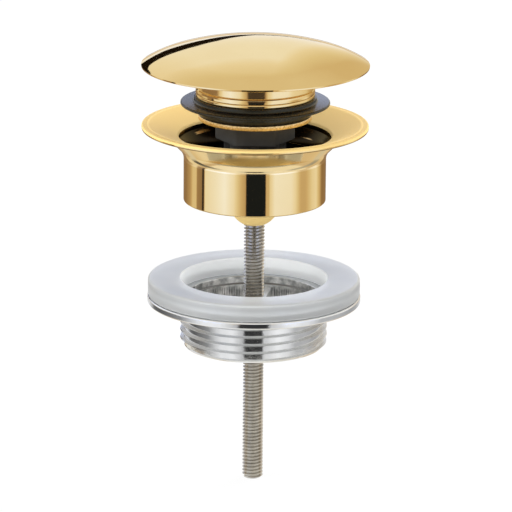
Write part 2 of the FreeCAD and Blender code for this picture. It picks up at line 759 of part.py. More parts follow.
def outlet_body():
    """Flanged outlet with the trap thread outside and a threaded hub on ribs inside."""
    relief_r = THREAD_R - RELIEF_DEPTH
    shell = turned(
        (OUTLET_BORE_R, OUTLET_TOP_Z),
        (OUTLET_FLANGE_R - OUTLET_FLANGE_EDGE, OUTLET_TOP_Z),
        (OUTLET_FLANGE_R, OUTLET_TOP_Z - OUTLET_FLANGE_EDGE),
        (OUTLET_FLANGE_R, THREAD_TOP_Z + OUTLET_FLANGE_EDGE),
        (OUTLET_FLANGE_R - OUTLET_FLANGE_EDGE, THREAD_TOP_Z),
        (relief_r, THREAD_TOP_Z),
        (relief_r, THREAD_TOP_Z - RELIEF_HEIGHT),
        (THREAD_R, THREAD_TOP_Z - RELIEF_HEIGHT - RELIEF_DEPTH),
        (THREAD_R, THREAD_END_Z + THREAD_CHAMFER),
        (THREAD_R - THREAD_CHAMFER, THREAD_END_Z),
        (OUTLET_STEP_R, THREAD_END_Z),
        (OUTLET_STEP_R, OUTLET_STEP_Z),
        (OUTLET_BORE_R, OUTLET_STEP_Z),
    )
    hub_end = OUTLET_HUB_TOP_Z - OUTLET_HUB_HEIGHT
    hub = turned(
        (SCREW_BORE_R, hub_end),
        (OUTLET_HUB_R - OUTLET_HUB_EDGE, hub_end),
        (OUTLET_HUB_R, hub_end + OUTLET_HUB_EDGE),
        (OUTLET_HUB_R, OUTLET_HUB_TOP_Z - OUTLET_HUB_EDGE),
        (OUTLET_HUB_R - OUTLET_HUB_EDGE, OUTLET_HUB_TOP_Z),
        (SCREW_BORE_R, OUTLET_HUB_TOP_Z),
    )
    rib_inner = (SCREW_BORE_R + OUTLET_HUB_R) / 2
    rib_outer = OUTLET_STEP_R + AIR_GAP
    rib_low = OUTLET_RIB_TOP_Z - OUTLET_RIB_HEIGHT
    ribs = [
        bar(rib_inner, rib_outer, OUTLET_RIB_WIDTH, rib_low, OUTLET_RIB_TOP_Z, angle)
        for angle in spread(OUTLET_RIB_COUNT, OUTLET_RIB_START_DEG)
    ]
    return shell.fuse([hub, *ribs]).removeSplitter()


PARTS = [
    flange_cup,
    centre_screw,
    cartridge_core,
    core_lid,
    core_o_ring,
    cam_ring,
    cam_pins,
    plunger,
    return_spring,
    seal_nut,
    seal_retainer,
    lip_seal,
    seal_washer,
    plug_neck,
    cap_stud,
    cap_boss,
    dome_cap,
    ring_gasket,
    outlet_body,
]

os.makedirs("parts", exist_ok=True)
for make in PARTS:
    shape = make()
    name = make.__name__
    print(name, "valid" if shape.isValid() else "not valid", f"{shape.Volume:.1f} mm3")
    shape.exportStep(f"parts/{name}.step")
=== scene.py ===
"""Looks of the pop up basin waste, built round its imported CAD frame. Metres, +Z up."""

from math import cos, pi, radians, sin, sqrt, tan

import bmesh
import bpy
from mathutils import Matrix, Quaternion, Vector


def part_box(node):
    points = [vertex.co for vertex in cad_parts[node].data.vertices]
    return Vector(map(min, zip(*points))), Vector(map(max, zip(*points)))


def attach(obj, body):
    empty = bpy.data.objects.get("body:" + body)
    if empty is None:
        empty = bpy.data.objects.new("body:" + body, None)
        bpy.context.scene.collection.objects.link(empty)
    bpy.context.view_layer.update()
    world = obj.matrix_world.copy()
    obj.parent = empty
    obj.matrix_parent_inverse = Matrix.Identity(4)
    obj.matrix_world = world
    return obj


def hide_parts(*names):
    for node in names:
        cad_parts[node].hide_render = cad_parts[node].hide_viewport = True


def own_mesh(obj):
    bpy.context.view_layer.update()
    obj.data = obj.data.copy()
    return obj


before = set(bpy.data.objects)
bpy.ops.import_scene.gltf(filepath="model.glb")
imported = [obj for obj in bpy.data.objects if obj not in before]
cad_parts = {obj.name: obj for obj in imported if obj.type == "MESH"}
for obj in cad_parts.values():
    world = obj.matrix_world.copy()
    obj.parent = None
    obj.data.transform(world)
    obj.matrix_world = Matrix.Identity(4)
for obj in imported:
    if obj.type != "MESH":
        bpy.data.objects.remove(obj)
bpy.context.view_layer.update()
scene = bpy.context.scene
MM = 0.001


# Camera: a long lens a little above the waste, turned a hair round its own axis as the
# photograph is.
view_height = radians(15.4)
view_distance = 1280 * MM
view_target = Vector((0.54, 0, -37.4)) * MM
look = Vector((0, cos(view_height), -sin(view_height)))
camera = bpy.data.objects.new("camera", bpy.data.cameras.new("camera"))
camera.data.sensor_width = 36
camera.data.lens = 316.4
camera.location = view_target - look * view_distance
camera.rotation_mode = "QUATERNION"
camera.rotation_quaternion = look.to_track_quat("-Z", "Y") @ Quaternion((0, 0, 1), radians(0.45))
camera.data.clip_start = 0.01
camera.data.clip_end = 50
scene.collection.objects.link(camera)
scene.camera = camera
scene.view_settings.view_transform = "Standard"


# Light: an even white studio. What the camera, the metal and the clear ring see of it is
# plain white, and what lights the piece is a little lower, so that the lamps give it shape.
def node(tree, kind, **values):
    """Shader node with its inputs set by name."""
    made = tree.nodes.new(kind)
    for name, value in values.items():
        name = name.replace("_", " ")
        if name in made.inputs:
            made.inputs[name].default_value = value
        else:
            setattr(made, name.replace(" ", "_"), value)
    return made


def seen_directly(tree):
    """1 for the rays that show the background itself: camera, glossy and transmission."""
    path = tree.nodes.new("ShaderNodeLightPath")
    total = path.outputs["Is Camera Ray"]
    for ray in ("Is Glossy Ray", "Is Transmission Ray"):
        add = node(tree, "ShaderNodeMath", operation="ADD", use_clamp=True)
        tree.links.new(total, add.inputs[0])
        tree.links.new(path.outputs[ray], add.inputs[1])
        total = add.outputs[0]
    return total


world = bpy.data.worlds.new("studio")
world.use_nodes = True
scene.world = world
sky = world.node_tree
sky.nodes.clear()
mix = node(sky, "ShaderNodeMixShader")
lighting = node(sky, "ShaderNodeBackground", Color=(1, 1, 1, 1), Strength=1.0)
backdrop = node(sky, "ShaderNodeBackground", Color=(1, 1, 1, 1), Strength=1.0)
sky.links.new(seen_directly(sky), mix.inputs[0])
sky.links.new(lighting.outputs[0], mix.inputs[1])
sky.links.new(backdrop.outputs[0], mix.inputs[2])
sky.links.new(mix.outputs[0], node(sky, "ShaderNodeOutputWorld").inputs[0])

for name, place, size, power in (
    ("left_lamp", (-1.3, -0.5, 0.6), 0.8, 11.0),
    ("back_lamp", (0.9, 1.1, 0.6), 0.9, 20.0),
):
    lamp = bpy.data.objects.new(name, bpy.data.lights.new(name, "AREA"))
    lamp.data.size = size
    lamp.data.energy = power
    lamp.location = place
    lamp.rotation_euler = (view_target - lamp.location).to_track_quat("-Z", "Y").to_euler()
    lamp.visible_glossy = False
    lamp.visible_transmission = False
    scene.collection.objects.link(lamp)


# Floor: pale matt board under the screw's end. Most of its white is its own, so the shadow
# stays faint as in the photograph.
def link_mesh(name, bm, material):
    """Object at the origin from a finished bmesh."""
    mesh = bpy.data.meshes.new(name)
    bm.to_mesh(mesh)
    bm.free()
    mesh.materials.append(material)
    obj = bpy.data.objects.new(name, mesh)
    scene.collection.objects.link(obj)
    return obj


def new_material(name):
    """Empty node material with its output."""
    material = bpy.data.materials.new(name)
    material.use_nodes = True
    material.node_tree.nodes.clear()
    return material, material.node_tree, node(material.node_tree, "ShaderNodeOutputMaterial")


OWN_WHITE = 0.94
floor_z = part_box("centre_screw")[0].z
paint, tree, output = new_material("floor_white")
matt = node(tree, "ShaderNodeBsdfDiffuse", Color=(0.9, 0.9, 0.9, 1))
white = node(tree, "ShaderNodeEmission", Color=(1, 1, 1, 1), Strength=1.0)
share = node(tree, "ShaderNodeMath", operation="MULTIPLY")
share.inputs[1].default_value = OWN_WHITE
mix = node(tree, "ShaderNodeMixShader")
tree.links.new(seen_directly(tree), share.inputs[0])
tree.links.new(share.outputs[0], mix.inputs[0])
tree.links.new(matt.outputs[0], mix.inputs[1])
tree.links.new(white.outputs[0], mix.inputs[2])
tree.links.new(mix.outputs[0], output.inputs[0])
bm = bmesh.new()
bmesh.ops.create_circle(bm, cap_ends=True, segments=64, radius=4)
bmesh.ops.translate(bm, vec=(0, 0, floor_z), verts=bm.verts)
floor = link_mesh("floor", bm, paint)


# Studio cards: what the polished metal mirrors. Only glossy rays meet them, and they light
# nothing. Shade in the studio is warm and its brightest sheets are cool.
def reflection_card(name, bm, material):
    """Stage piece that only shows in reflections."""
    card = link_mesh(name, bm, material)
    card.visible_camera = False
    card.visible_diffuse = False
    card.visible_shadow = False
    card.visible_transmission = False
    return card


def ramp(tree, source, stops):
    """Grey or colour ramp with (place, value) stops."""
    made = node(tree, "ShaderNodeValToRGB")
    elements = made.color_ramp.elements
    while len(elements) < len(stops):
        elements.new(0.5)
    for element, (place, value) in zip(elements, stops):
        element.position = place
        element.color = value if hasattr(value, "__len__") else (value, value, value, 1)
    tree.links.new(source, made.inputs[0])
    return made.outputs[0]


def turns(tree):
    """Share of a turn round the axis, from straight behind, clockwise seen from above."""
    place = node(tree, "ShaderNodeTexCoord")
    turn_to_back = node(tree, "ShaderNodeMapping")
    turn_to_back.inputs["Rotation"].default_value = (pi, 0, radians(-90))
    angle = node(tree, "ShaderNodeTexGradient", gradient_type="RADIAL")
    tree.links.new(place.outputs["Object"], turn_to_back.inputs[0])
    tree.links.new(turn_to_back.outputs[0], angle.inputs[0])
    return angle.outputs["Fac"]


def round_ramp(tree, stops):
    """Ramp round the axis, with its stops in degrees."""
    return ramp(tree, turns(tree), [(deg / 360, value) for deg, value in stops])


def tinted(tree, tone):
    """Light of a tone from 0 to 1: brown shade, then warm, neutral and cool white."""
    return ramp(tree, tone, (
        (0.0, (0.014, 0.019, 0.032, 1)),
        (0.28, (0.35, 0.25, 0.18, 1)),
        (0.48, (0.6, 0.48, 0.36, 1)),
        (0.65, (0.81, 0.7, 0.55, 1)),
        (0.78, (0.97, 0.95, 0.88, 1)),
        (0.87, (1.09, 1.13, 1.25, 1)),
        (0.93, (1.16, 1.3, 1.75, 1)),
        (1.0, (1.25, 1.5, 2.4, 1)),
    ))


def glowing(tree, colour, output):
    """Plain light of the colour as the material's surface."""
    glow = node(tree, "ShaderNodeEmission", Strength=1.0)
    tree.links.new(colour, glow.inputs["Color"])
    tree.links.new(glow.outputs[0], output.inputs[0])


# The floor card: flares mirror its middle, the cup the zone round that and the neck the wide
# outside, with a black gap towards the lens and another one on the left.
paint, tree, output = new_material("floor_card")
middle = round_ramp(tree, (
    (0, 0.6), (30, 0.69), (45, 0.62), (82, 0.58), (92, 0.78), (150, 0.77), (180, 0.77),
    (225, 0.82), (262, 0.78), (268, 0.52), (278, 0.54), (290, 0.72), (315, 0.75), (340, 0.5),
    (360, 0.55),
))
outside = round_ramp(tree, (
    (0, 0.28), (44, 0.3), (52, 0.62), (64, 0.88), (76, 0.82), (92, 0.6), (101, 0.6), (112, 0.86),
    (120, 0.92), (148, 0.94), (156, 0.82), (157, 0.66), (162.8, 0.62), (163, 0.0), (193, 0.0),
    (193.3, 0.5), (203, 0.7), (212, 0.89), (228, 0.98), (244, 0.93), (266, 0.88), (268, 0.02),
    (272, 0.02), (272.4, 0.3), (284, 0.36), (287, 0.75), (297, 0.74), (306, 0.48), (325, 0.3),
    (360, 0.28),
))
far = round_ramp(tree, (
    (0, 0.28), (50, 0.55), (66, 0.78), (84, 0.82), (100, 0.84), (115, 0.93), (145, 0.94),
    (156, 0.8), (160, 0.5), (163, 0.06), (193, 0.06), (196, 0.55), (208, 0.88), (228, 0.98),
    (243, 0.93), (252, 0.75), (258, 0.3), (300, 0.28), (308, 0.6), (322, 0.72), (335, 0.3),
    (360, 0.28),
))
place = node(tree, "ShaderNodeTexCoord")
length = node(tree, "ShaderNodeVectorMath", operation="LENGTH")
tree.links.new(place.outputs["Object"], length.inputs[0])
tone = middle
OUTSIDE_R, FAR_R, BLUR = 0.21, 0.44, 0.008
for wider, edge in ((outside, OUTSIDE_R), (far, FAR_R)):
    beyond = ramp(tree, length.outputs["Value"], ((edge, 0), (edge + BLUR, 1)))
    blend = node(tree, "ShaderNodeMix", data_type="RGBA")
    tree.links.new(beyond, blend.inputs[0])
    tree.links.new(tone, blend.inputs[6])
    tree.links.new(wider, blend.inputs[7])
    tone = blend.outputs[2]
glowing(tree, tinted(tree, tone), output)
bm = bmesh.new()
bmesh.ops.create_circle(bm, cap_ends=True, segments=96, radius=1.0)
card = reflection_card("floor_card", bm, paint)
card.location.z = floor_z + 0.4 * MM

# The low band round the outlet: plain greys for the chrome alone.
paint, tree, output = new_material("grey_band")
greys = round_ramp(tree, (
    (0, 0.8), (34, 0.75), (49, 0.5), (66, 0.42), (88, 0.52), (114, 0.55), (127, 0.9), (143, 1.05),
    (156, 0.85), (165, 0.7), (167, 0.04), (193, 0.04), (195, 0.55), (211, 1.0), (230, 0.95),
    (244, 0.6), (254, 0.3), (268, 0.22), (286, 0.12), (300, 0.16), (307, 0.5), (318, 0.8),
    (360, 0.8),
))
glowing(tree, greys, output)
bm = bmesh.new()
BAND_R, BAND_HEIGHT, BAND_Z = 0.1, 0.021, -0.0775
bmesh.ops.create_cone(
    bm, cap_ends=False, segments=96, radius1=BAND_R, radius2=BAND_R, depth=BAND_HEIGHT
)
card = reflection_card("grey_band", bm, paint)
card.location.z = BAND_Z

# The tent over it: bright behind, warmer to the right and overhead, for the dome.
paint, tree, output = new_material("tent")
behind = round_ramp(tree, (
    (0, 0.93), (6, 0.92), (9, 0.82), (15, 0.69), (32, 0.7), (45, 0.76), (90, 0.8), (270, 0.8),
    (330, 0.87), (345, 0.9), (349, 0.92), (360, 0.93),
))
place = node(tree, "ShaderNodeTexCoord")
upward = node(tree, "ShaderNodeVectorMath", operation="NORMALIZE")
split = node(tree, "ShaderNodeSeparateXYZ")
tree.links.new(place.outputs["Object"], upward.inputs[0])
tree.links.new(upward.outputs[0], split.inputs[0])
level = ramp(tree, split.outputs["Z"], ((0.0, 0.66), (0.05, 0.95)))
overhead = ramp(tree, split.outputs["Z"], ((0.6, 0), (0.85, 1)))
lower = node(tree, "ShaderNodeMath", operation="MINIMUM")
tree.links.new(behind, lower.inputs[0])
tree.links.new(level, lower.inputs[1])
above = node(tree, "ShaderNodeMix")
above.inputs["B"].default_value = 0.75
tree.links.new(overhead, above.inputs["Factor"])
tree.links.new(lower.outputs[0], above.inputs["A"])
glowing(tree, tinted(tree, above.outputs[0]), output)
bm = bmesh.new()
bmesh.ops.create_icosphere(bm, subdivisions=5, radius=2.0)
reflection_card("tent", bm, paint)

# The dark blade behind the waste, which the dome mirrors as a curved stripe.
paint, tree, output = new_material("black_card")
glow = node(tree, "ShaderNodeEmission", Color=(0.012, 0.008, 0.006, 1), Strength=1.0)
tree.links.new(glow.outputs[0], output.inputs[0])
bm = bmesh.new()
low_edge = (
    (0.09, 0.048), (0.0, 0.066), (-0.03, 0.074), (-0.078, 0.108), (-0.13, 0.124), (-0.19, 0.122),
    (-0.6, 0.12),
)
high_edge = (
    (-0.6, 0.68), (-0.477, 0.5), (-0.414, 0.4), (-0.354, 0.335), (-0.296, 0.316), (-0.185, 0.294),
    (-0.13, 0.28), (-0.078, 0.233), (-0.03, 0.154), (0.0, 0.1), (0.09, 0.053),
)
bm.faces.new([bm.verts.new((x, 1.0, z)) for x, z in low_edge + high_edge])
reflection_card("blade_card", bm, paint)


# Flanged cup: brass, cast with its hub on four ribs, turned on its faces, polished and gold
# plated. The flange with its shallow dish is satin, and the dish carries a painted glow for the
# dome's shade. Under the flange top the seat is lightened by a painted highlight, the flange's
# outer edge is painted dark for a reflection, and the throat is painted dark for its shade, with
# painted gold reflection streaks.
def rounded_chain(bm, corners, close=True, segments=6):
    """Edges through (r, z) or (r, z, rounding) corners in millimetres, rounded by bevels."""
    verts = [bm.verts.new((c[0] * MM, 0, c[1] * MM)) for c in corners]
    pairs = list(zip(verts, verts[1:]))
    if close:
        pairs.append((verts[-1], verts[0]))
    for pair in pairs:
        bm.edges.new(pair)
    count = len(verts)
    places = [v.co.copy() for v in verts]
    for i, corner in enumerate(corners):
        if len(corner) > 2:
            back = places[i - 1] - places[i]
            ahead = places[(i + 1) % count] - places[i]
            bmesh.ops.bevel(
                bm,
                geom=[verts[i]],
                offset=corner[2] * MM / tan(back.angle(ahead) / 2),
                offset_type="OFFSET",
                affect="VERTICES",
                segments=segments,
                profile=0.5,
                material=-1,
            )
    return verts


def turn_round(bm, steps=256):
    """Spins the profile in the bmesh about the waste's axis into a closed skin."""
    bmesh.ops.spin(
        bm,
        geom=bm.verts[:] + bm.edges[:],
        cent=(0, 0, 0),
        axis=(0, 0, 1),
        angle=2 * pi,
        steps=steps,
        use_merge=True,
    )
    bmesh.ops.remove_doubles(bm, verts=bm.verts, dist=1e-7)
    bmesh.ops.recalc_face_normals(bm, faces=bm.faces)


def turned(*corners, steps=256, segments=6):
    """Bmesh of a turned piece from the corners of its closed profile."""
    bm = bmesh.new()
    rounded_chain(bm, corners, segments=segments)
    turn_round(bm, steps)
    return bm


def bar(r_inner, r_outer, width, z_low, z_high, angle_deg):
    """Bmesh of a straight rib that runs outwards from the axis."""
    bm = bmesh.new()
    bmesh.ops.create_cube(bm, size=MM)
    bmesh.ops.scale(bm, vec=(r_outer - r_inner, width, z_high - z_low), verts=bm.verts)
    middle = Vector(((r_outer + r_inner) / 2, 0, (z_low + z_high) / 2)) * MM
    bmesh.ops.translate(bm, vec=middle, verts=bm.verts)
    spin = Matrix.Rotation(radians(angle_deg), 3, "Z")
    bmesh.ops.rotate(bm, cent=(0, 0, 0), matrix=spin, verts=bm.verts)
    return bm


def soften(bm, edges, radius, segments):
    """Rounds the edges of the bmesh, by a radius in millimetres."""
    bmesh.ops.bevel(
        bm,
        geom=edges,
        offset=radius * MM,
        affect="EDGES",
        segments=segments,
        profile=0.5,
        material=-1,
    )


def cut_or_join(body, tool, operation):
    """Bmesh of body after a Boolean with tool. Both are used up."""
    pair = []
    for bm in (body, tool):
        mesh = bpy.data.meshes.new("work")
        bm.to_mesh(mesh)
        bm.free()
        obj = bpy.data.objects.new("work", mesh)
        scene.collection.objects.link(obj)
        pair.append(obj)
    work = pair[0].modifiers.new("boolean", "BOOLEAN")
    work.object = pair[1]
    work.operation = operation
    work.solver = "MANIFOLD"
    graph = bpy.context.evaluated_depsgraph_get()
    result = bmesh.new()
    result.from_mesh(pair[0].evaluated_get(graph).to_mesh())
    pair[0].evaluated_get(graph).to_mesh_clear()
    for obj in pair:
        bpy.data.meshes.remove(obj.data)
    return result


def piece(name, bm, material, body, node_name=None, sharp_deg=32):
    """Finished object: smooth where it is round, riding on its CAD body."""
    obj = link_mesh(name, bm, material)
    for polygon in obj.data.polygons:
        polygon.use_smooth = True
    obj.data.set_sharp_from_angle(angle=radians(sharp_deg))
    even = obj.modifiers.new("even_shading", "WEIGHTED_NORMAL")
    even.keep_sharp = True
    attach(obj, body)
    if node_name:
        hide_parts(node_name)
    return obj


def math(tree, operation, *values):
    """Result of a math node; the values are numbers or sockets."""
    made = node(tree, "ShaderNodeMath", operation=operation)
    for socket, value in zip(made.inputs, values):
        if isinstance(value, bpy.types.NodeSocket):
            tree.links.new(value, socket)
        else:
            socket.default_value = value
    return made.outputs[0]


def radius_and_height(tree):
    """Sockets with a point's distance from the waste's axis and its height, in metres."""
    place = node(tree, "ShaderNodeTexCoord")
    split = node(tree, "ShaderNodeSeparateXYZ")
    flat = node(tree, "ShaderNodeVectorMath", operation="MULTIPLY")
    flat.inputs[1].default_value = (1, 1, 0)
    radius = node(tree, "ShaderNodeVectorMath", operation="LENGTH")
    tree.links.new(place.outputs["Object"], split.inputs[0])
    tree.links.new(place.outputs["Object"], flat.inputs[0])
    tree.links.new(flat.outputs[0], radius.inputs[0])
    return radius.outputs["Value"], split.outputs["Z"]


def zone(tree, per_radius, per_height, low, high):
    """1 where radius and height, weighed and added, lie between two values in millimetres."""
    radius, height = radius_and_height(tree)
    raised = math(tree, "MULTIPLY", height, per_height)
    total = math(tree, "MULTIPLY_ADD", radius, per_radius, raised)
    above = math(tree, "GREATER_THAN", total, low * MM)
    return math(tree, "MULTIPLY", above, math(tree, "LESS_THAN", total, high * MM))


def laid_over(material, name, mask, value):
    """Changes a fed input of the material's shader where the mask is 1."""
    tree = material.node_tree
    socket = tree.nodes["Principled BSDF"].inputs[name]
    blend = node(tree, "ShaderNodeMix", data_type="RGBA")
    tree.links.new(mask, blend.inputs[0])
    tree.links.new(socket.links[0].from_socket, blend.inputs[6])
    if isinstance(value, bpy.types.NodeSocket):
        tree.links.new(value, blend.inputs[7])
    else:
        blend.inputs[7].default_value = value
    tree.links.new(blend.outputs[2], socket)


def surface(
    name,
    colours,
    metallic=0.0,
    roughness=(0.3, 0.4),
    grain_mm=1.0,
    cloud_mm=8.0,
    bump=0.05,
    lathe_mm=None,
    lathe_bump=0.05,
    **sockets,
):
    """Material with clouded colour, uneven gloss, a fine grain and, on turned work, its rings."""
    material, tree, output = new_material(name)
    shader = node(tree, "ShaderNodeBsdfPrincipled", Metallic=metallic, **sockets)
    place = node(tree, "ShaderNodeTexCoord")
    cloud = node(tree, "ShaderNodeTexNoise", Scale=1 / (cloud_mm * MM), Detail=3.0)
    grain = node(tree, "ShaderNodeTexNoise", Scale=1 / (grain_mm * MM), Detail=4.0)
    for texture in (cloud, grain):
        tree.links.new(place.outputs["Object"], texture.inputs["Vector"])
    first, second = [(*colour, 1) for colour in colours]
    tint = ramp(tree, cloud.outputs["Fac"], ((0.35, first), (0.65, second)))
    tree.links.new(tint, shader.inputs["Base Color"])
    gloss = node(tree, "ShaderNodeMapRange")
    gloss.inputs["From Min"].default_value = 0.3
    gloss.inputs["From Max"].default_value = 0.7
    gloss.inputs["To Min"].default_value = roughness[0]
    gloss.inputs["To Max"].default_value = roughness[1]
    tree.links.new(grain.outputs["Fac"], gloss.inputs["Value"])
    tree.links.new(gloss.outputs[0], shader.inputs["Roughness"])
    relief = node(tree, "ShaderNodeBump", Strength=bump, Distance=grain_mm * MM * 0.2)
    tree.links.new(grain.outputs["Fac"], relief.inputs["Height"])
    if lathe_mm:
        rings = node(tree, "ShaderNodeTexNoise", noise_dimensions="1D", Scale=1.0, Detail=3.0)
        cut = node(tree, "ShaderNodeBump", Strength=lathe_bump, Distance=lathe_mm * MM * 0.2)
        along = math(tree, "ADD", *radius_and_height(tree))
        tree.links.new(math(tree, "DIVIDE", along, lathe_mm * MM), rings.inputs["W"])
        tree.links.new(rings.outputs["Fac"], cut.inputs["Height"])
        tree.links.new(relief.outputs[0], cut.inputs["Normal"])
        relief = cut
    tree.links.new(relief.outputs[0], shader.inputs["Normal"])
    tree.links.new(shader.outputs[0], output.inputs[0])
    return material


GOLD = ((0.75, 0.56, 0.255), (0.735, 0.54, 0.24))
GOLD_EDGE = (0.92, 0.84, 0.65, 1)
gold = surface(
    "polished_gold", GOLD, 1.0, (0.03, 0.06), grain_mm=0.5, cloud_mm=14, bump=0.01,
    lathe_mm=0.12, lathe_bump=0.01, Specular_Tint=GOLD_EDGE,
)
cup_gold = surface(
    "cup_gold", GOLD, 1.0, (0.03, 0.06), grain_mm=0.5, cloud_mm=14, bump=0.01, lathe_mm=0.12,
    lathe_bump=0.01, Specular_Tint=GOLD_EDGE,
)
tree = cup_gold.node_tree
under = zone(tree, 0, 1, -8.6, -0.05)
# Painted highlight: below the flange top, the seat 20 to 27.2 mm out is painted a lighter gold
# where its reflection falls dark.
bright = math(tree, "MULTIPLY", under, zone(tree, 1, 0, 20, 27.2))
laid_over(cup_gold, "Roughness", under, (0.1, 0.1, 0.1, 1))
laid_over(cup_gold, "Base Color", bright, (0.87, 0.7, 0.4, 1))
# Painted reflection: the flange's outer edge is painted dark brown for the dark that it mirrors.
edge = math(tree, "MULTIPLY", zone(tree, 1, 0, 31.4, 40), zone(tree, 0, 1, -1, 0.3))
laid_over(cup_gold, "Base Color", edge, (0.22, 0.14, 0.06, 1))
# Painted shade and painted reflections: the throat and hub are painted near black for the shade
# inside the cup, with long gold streaks that stand in for reflections of its ribs.
inside = math(tree, "MAXIMUM", zone(tree, 1, 0, -1, 19.4), zone(tree, -1, 1, -26.1, 9))
inside = math(tree, "MULTIPLY", inside, zone(tree, 0, 1, -20.5, 9))
place = node(tree, "ShaderNodeTexCoord")
lean = node(tree, "ShaderNodeMapping")
lean.inputs["Rotation"].default_value = (0.5, 0.3, 0)
lean.inputs["Scale"].default_value = (45, 70, 1300)
patches = node(tree, "ShaderNodeTexNoise", Scale=1.0, Detail=1.0)
tree.links.new(place.outputs["Object"], lean.inputs[0])
tree.links.new(lean.outputs[0], patches.inputs["Vector"])
painted_shade_and_reflections = ramp(
    tree, patches.outputs["Fac"], ((0.64, (0.02, 0.015, 0.01, 1)), (0.68, (0.6, 0.42, 0.2, 1)))
)
laid_over(cup_gold, "Base Color", inside, painted_shade_and_reflections)
laid_over(cup_gold, "Roughness", inside, (0.2, 0.2, 0.2, 1))
dish = math(tree, "MULTIPLY", zone(tree, -0.375, 1, -10.5, 9), zone(tree, 1, 0, 21.5, 30.5))
face = math(tree, "MAXIMUM", dish, zone(tree, 0, 1, 0.65, 9))
face = math(tree, "MAXIMUM", face, zone(tree, 0, 1, -40, -20.9))
laid_over(cup_gold, "Base Color", face, (0.9, 0.66, 0.26, 1))
laid_over(cup_gold, "Roughness", face, (0.55, 0.55, 0.55, 1))
shader = tree.nodes["Principled BSDF"]
# Painted glow: the dish gives off a faint gold light that stands in for the light that the dome's
# shade keeps off it.
shader.inputs["Emission Color"].default_value = (0.8, 0.62, 0.29, 1)
for name, most, change, where in (
    ("Metallic", 1.0, -0.85, face),
    ("Specular IOR Level", 0.5, -0.35, face),
    ("Emission Strength", 0.0, 0.22, dish),
):
    tree.links.new(math(tree, "MULTIPLY_ADD", where, change, most), shader.inputs[name])

FLANGE_R, FLANGE_TOP = 32.1, 1.3
CUP_R, CUP_BORE_R, CUP_END = 20.15, 18.65, -20.8
HUB_R, HUB_TOP, SOCKET_R, SOCKET_FLOOR = 9.3, -14.2, 7.2, -19.0
COUNTERBORE_R, COUNTERBORE_FLOOR, SCREW_BORE_R = 5.2, -22.5, 3.05
BOSS_R, BOSS_CENTRE, BOSS_END = 7.3, -21.2, -27.69
cup = turned(
    (CUP_R, CUP_END, 0.4),
    (CUP_R, CUP_R - 27, 4.0),
    (25.5, -1.5, 1.0),
    (29.5, 0, 0.4),
    (FLANGE_R, 0, 0.5),
    (FLANGE_R, FLANGE_TOP, 0.5),
    (30.0, FLANGE_TOP, 1.5),
    (21.6, -1.85, 0.8),
    (21.47, -3.69, 0.3),
    (CUP_BORE_R, CUP_BORE_R - 25.16, 5.3),
    (CUP_BORE_R, CUP_END, 0.3),
    segments=10,
)
hub = bmesh.new()
corners = rounded_chain(
    hub,
    (
        (sqrt(BOSS_R**2 - (CUP_END - BOSS_CENTRE) ** 2), CUP_END),
        (HUB_R, CUP_END),
        (HUB_R, HUB_TOP, 0.4),
        (SOCKET_R, HUB_TOP, 0.4),
        (SOCKET_R, SOCKET_FLOOR),
        (COUNTERBORE_R, SOCKET_FLOOR),
        (COUNTERBORE_R, COUNTERBORE_FLOOR),
        (SCREW_BORE_R, COUNTERBORE_FLOOR),
        (SCREW_BORE_R, BOSS_END),
    ),
    close=False,
)
start = corners[0]
boss_start = Vector((start.co.x, start.co.z - BOSS_CENTRE * MM))
boss_stop = Vector((3.35 * MM, (BOSS_END - BOSS_CENTRE) * MM))
arc = bmesh.ops.spin(
    hub,
    geom=[start],
    cent=(0, 0, BOSS_CENTRE * MM),
    axis=(0, 1, 0),
    angle=boss_start.angle(boss_stop),
    steps=24,
)
last = [v for v in arc["geom_last"] if isinstance(v, bmesh.types.BMVert)][0]
hub.edges.new((last, corners[-1]))
turn_round(hub)
cup = cut_or_join(cup, hub, "UNION")
for quarter in range(4):
    rib = bar(8.2, 19.4, 3.0, CUP_END + 0.2, -17.8, quarter * 90)
    soften(rib, rib.edges[:], 0.3, 3)
    cup = cut_or_join(cup, rib, "UNION")
piece("flange_cup_polished", cup, cup_gold, "waste_cup", "flange_cup")


# Clamping screw: a long steel machine screw with a slotted pan head, its thread rolled over
# the whole shank. The head sits in the cup's hub and the shank pulls the outlet up.
def threaded_rod(section, pitch, low, high, steps, end_r, cone=1.0):
    """Bmesh of a right-hand thread in millimetres: one pitch of its outline, spun upwards.

    The section gives (r, share of the pitch). Both ends are cut flat, and below and above
    them the crests are turned down to end_r on a cone.
    """
    bm = bmesh.new()
    turns = int((high - low) / pitch) + 3
    start = low - 1.5 * pitch
    verts = [bm.verts.new((r * MM, 0, (start + share * pitch) * MM)) for r, share in section]
    verts.append(bm.verts.new((section[0][0] * MM, 0, (start + pitch) * MM)))
    for pair in zip(verts, verts[1:]):
        bm.edges.new(pair)
    bmesh.ops.spin(
        bm,
        geom=bm.verts[:] + bm.edges[:],
        cent=(0, 0, 0),
        axis=(0, 0, 1),
        dvec=(0, 0, pitch * MM / steps),
        angle=2 * pi * turns,
        steps=steps * turns,
    )
    bmesh.ops.remove_doubles(bm, verts=bm.verts, dist=1e-6)
    for plane_z, side in ((low, 1), (high, -1)):
        bmesh.ops.bisect_plane(
            bm,
            geom=bm.verts[:] + bm.edges[:] + bm.faces[:],
            dist=1e-8,
            plane_co=(0, 0, plane_z * MM),
            plane_no=(0, 0, side),
            clear_inner=True,
        )
    for vert in bm.verts:
        r = vert.co.xy.length
        depth = min(vert.co.z - low * MM, high * MM - vert.co.z)
        allowed = end_r * MM + depth * cone
        if r > allowed:
            vert.co.xy *= allowed / r
    return bm


